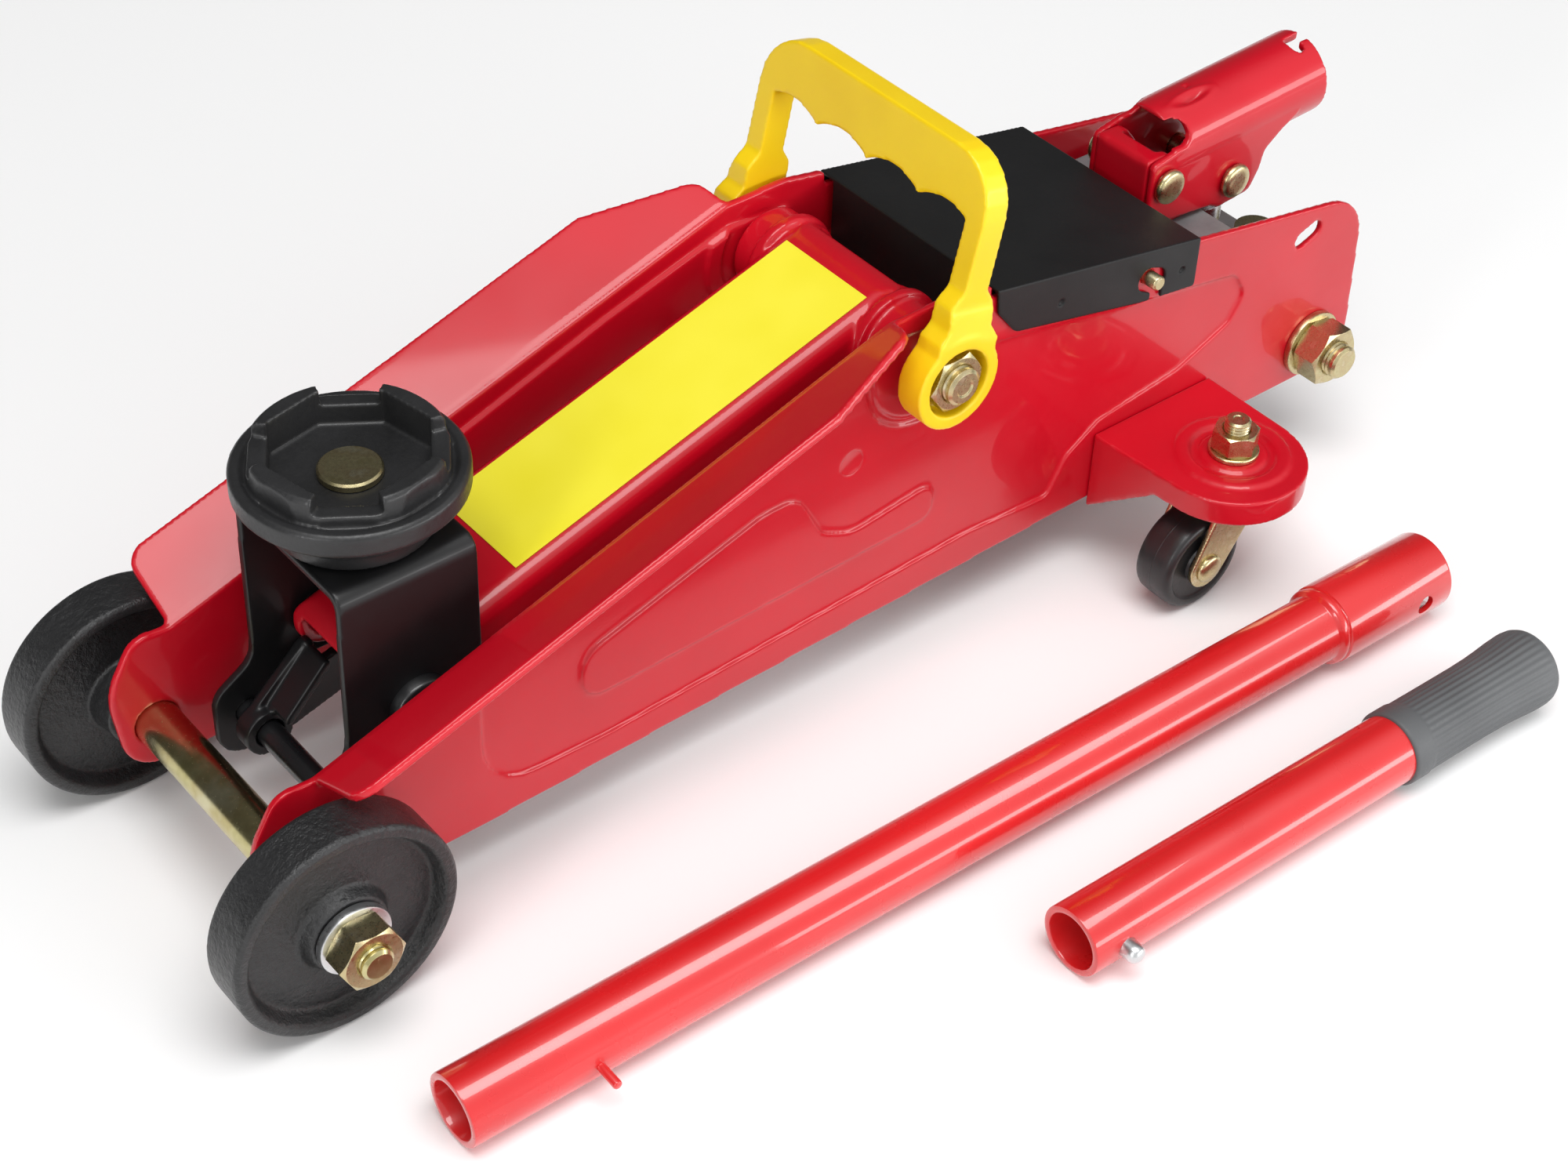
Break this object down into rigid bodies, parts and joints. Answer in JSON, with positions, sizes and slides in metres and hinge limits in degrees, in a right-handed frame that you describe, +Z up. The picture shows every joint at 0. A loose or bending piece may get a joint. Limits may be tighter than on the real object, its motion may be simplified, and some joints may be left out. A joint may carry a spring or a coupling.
{
  "type": "hydraulic trolley jack",
  "caption": "Compact red hydraulic trolley jack on wheels and swivel casters, with a lift arm, a round saddle, a yellow carry handle and its loose pump handle tubes alongside.",
  "frame": {"origin": "middle of the floor plan of the whole kit, the jack and its loose handle tubes, on the floor the wheels stand on", "axes": "+X towards the lifting end and the front wheels, +Y to the jack's left where the loose tubes lie, +Z up"},
  "size_m": [0.4558, 0.2878, 0.1819],
  "materials": {
    "red_enamel": "gloss",
    "zinc_gold": "satin",
    "zinc_silver": "satin",
    "bright_steel": "satin",
    "cast_black": "satin",
    "caster_black": "satin",
    "black_enamel": "satin",
    "cast_block": "rough",
    "black_plastic": "matt",
    "label_yellow": "gloss",
    "handle_yellow": "satin",
    "grip_grey": "matt"
  },
  "bodies": {
    "chassis": {"side_plate_left": "red_enamel", "side_plate_right": "red_enamel", "caster_bracket_left": "red_enamel", "caster_bracket_right": "red_enamel", "front_axle": "zinc_gold", "front_spacers": "zinc_gold", "front_washers": "zinc_silver", "front_nuts": "zinc_gold", "rear_tie_bolt": "zinc_gold", "rear_tie_washers": "zinc_gold", "rear_tie_nuts": "zinc_gold", "caster_bolts": "zinc_gold", "caster_washers": "zinc_gold", "caster_nuts": "zinc_gold", "arm_shaft": "zinc_gold", "arm_shaft_nuts": "zinc_gold", "link_rear_pin": "bright_steel", "base_block": "cast_block", "main_cylinder": "bright_steel", "cylinder_gland": "bright_steel", "reservoir": "red_enamel", "pump_barrel": "bright_steel", "relief_screw": "zinc_silver", "filler_plug": "black_plastic", "return_springs": "bright_steel", "spring_anchors": "bright_steel", "cover": "black_enamel", "cover_screws": "zinc_gold", "socket_yoke": "red_enamel", "socket_pivot_rivet": "zinc_gold"},
    "wheel_left": {"front_wheel_left": "cast_black"},
    "wheel_right": {"front_wheel_right": "cast_black"},
    "caster_left": {"caster_fork_left": "zinc_gold", "caster_rivet_left": "zinc_gold"},
    "caster_right": {"caster_fork_right": "zinc_gold", "caster_rivet_right": "zinc_gold"},
    "caster_roll_left": {"caster_wheel_left": "caster_black"},
    "caster_roll_right": {"caster_wheel_right": "caster_black"},
    "arm": {"lift_arm": "red_enamel", "arm_label": "label_yellow", "horn_pin": "bright_steel"},
    "roller": {"horn_roller": "bright_steel"},
    "link": {"levelling_link": "black_enamel"},
    "bracket": {"saddle_bracket": "black_enamel", "saddle_pivot_pin": "black_enamel", "link_front_rod": "black_enamel", "saddle_rivet": "zinc_gold"},
    "saddle": {"saddle": "cast_black"},
    "ram": {"ram": "bright_steel", "ram_pad": "bright_steel"},
    "socket": {"handle_socket": "red_enamel", "pump_rivet": "zinc_gold"},
    "piston": {"pump_piston": "bright_steel"},
    "valve": {"release_valve": "zinc_gold"},
    "carry_handle": {"carry_handle": "handle_yellow"},
    "lower_tube": {"lower_tube": "red_enamel", "lower_tube_pin": "red_enamel"},
    "upper_tube": {"upper_tube": "red_enamel", "grip": "grip_grey"},
    "button": {"snap_button": "zinc_silver"}
  },
  "joints": [
    {"name": "lift", "type": "hinge", "parent": "chassis", "child": "arm", "pos_m": [-0.02861, -0.04439, 0.1135], "axis": [0, -1, 0], "range_deg": [0, 64]},
    {"name": "bracket_level", "type": "hinge", "parent": "arm", "child": "bracket", "pos_m": [0.14389, -0.04439, 0.0635], "axis": [0, -1, 0], "range_deg": [-64, 0]},
    {"name": "link_swing", "type": "hinge", "parent": "chassis", "child": "link", "pos_m": [-0.00211, -0.04439, 0.087], "axis": [0, -1, 0], "range_deg": [0, 64]},
    {"name": "ram_stroke", "type": "slide", "parent": "chassis", "child": "ram", "axis": [1, 0, 0], "range_m": [0, 0.0435]},
    {"name": "horn_roll", "type": "hinge", "parent": "arm", "child": "roller", "pos_m": [-0.05561, -0.04439, 0.08133], "axis": [0, 1, 0], "continuous": true},
    {"name": "saddle_spin", "type": "hinge", "parent": "bracket", "child": "saddle", "pos_m": [0.14389, -0.04439, 0.1185], "axis": [0, 0, 1], "continuous": true},
    {"name": "wheel_left_spin", "type": "hinge", "parent": "chassis", "child": "wheel_left", "pos_m": [0.19289, 0.01361, 0.035], "axis": [0, 1, 0], "continuous": true},
    {"name": "wheel_right_spin", "type": "hinge", "parent": "chassis", "child": "wheel_right", "pos_m": [0.19289, -0.10239, 0.035], "axis": [0, 1, 0], "continuous": true},
    {"name": "caster_left_swivel", "type": "hinge", "parent": "chassis", "child": "caster_left", "pos_m": [-0.13461, 0.02961, 0.045], "axis": [0, 0, 1], "continuous": true},
    {"name": "caster_right_swivel", "type": "hinge", "parent": "chassis", "child": "caster_right", "pos_m": [-0.13461, -0.11839, 0.045], "axis": [0, 0, 1], "continuous": true},
    {"name": "caster_left_roll", "type": "hinge", "parent": "caster_left", "child": "caster_roll_left", "pos_m": [-0.12011, 0.02961, 0.0172], "axis": [0, 1, 0], "continuous": true},
    {"name": "caster_right_roll", "type": "hinge", "parent": "caster_right", "child": "caster_roll_right", "pos_m": [-0.12011, -0.11839, 0.0172], "axis": [0, 1, 0], "continuous": true},
    {"name": "pump_swing", "type": "hinge", "parent": "chassis", "child": "socket", "pos_m": [-0.15361, -0.04439, 0.1145], "axis": [0, 1, 0], "range_deg": [0, 40]},
    {"name": "pump_stroke", "type": "slide", "parent": "chassis", "child": "piston", "axis": [0, 0, 1], "range_m": [0, 0.0229]},
    {"name": "release_turn", "type": "hinge", "parent": "chassis", "child": "valve", "pos_m": [-0.20911, -0.03539, 0.06], "axis": [0, 0, 1], "range_deg": [0, 180]},
    {"name": "carry_swing", "type": "hinge", "parent": "chassis", "child": "carry_handle", "pos_m": [-0.02861, -0.04439, 0.1135], "axis": [0, 1, 0], "range_deg": [-45, 23]},
    {"name": "lower_tube_lift", "type": "slide", "parent": "chassis", "child": "lower_tube", "axis": [0, 0, 1], "range_m": [0, 0.3]},
    {"name": "upper_tube_lift", "type": "slide", "parent": "chassis", "child": "upper_tube", "axis": [0, 0, 1], "range_m": [0, 0.3]},
    {"name": "button_press", "type": "slide", "parent": "upper_tube", "child": "button", "axis": [-0.0209, -0.9998, 0], "range_m": [0, 0.005], "stiffness_N_per_m": 400}
  ],
  "couplings": [
    {"joint": "bracket_level", "follows": "lift", "ratio": -1},
    {"joint": "link_swing", "follows": "lift", "ratio": 1},
    {"joint": "ram_stroke", "follows": "lift", "m_per_rad": 0.0388},
    {"joint": "pump_stroke", "follows": "pump_swing", "m_per_rad": 0.0327}
  ]
}
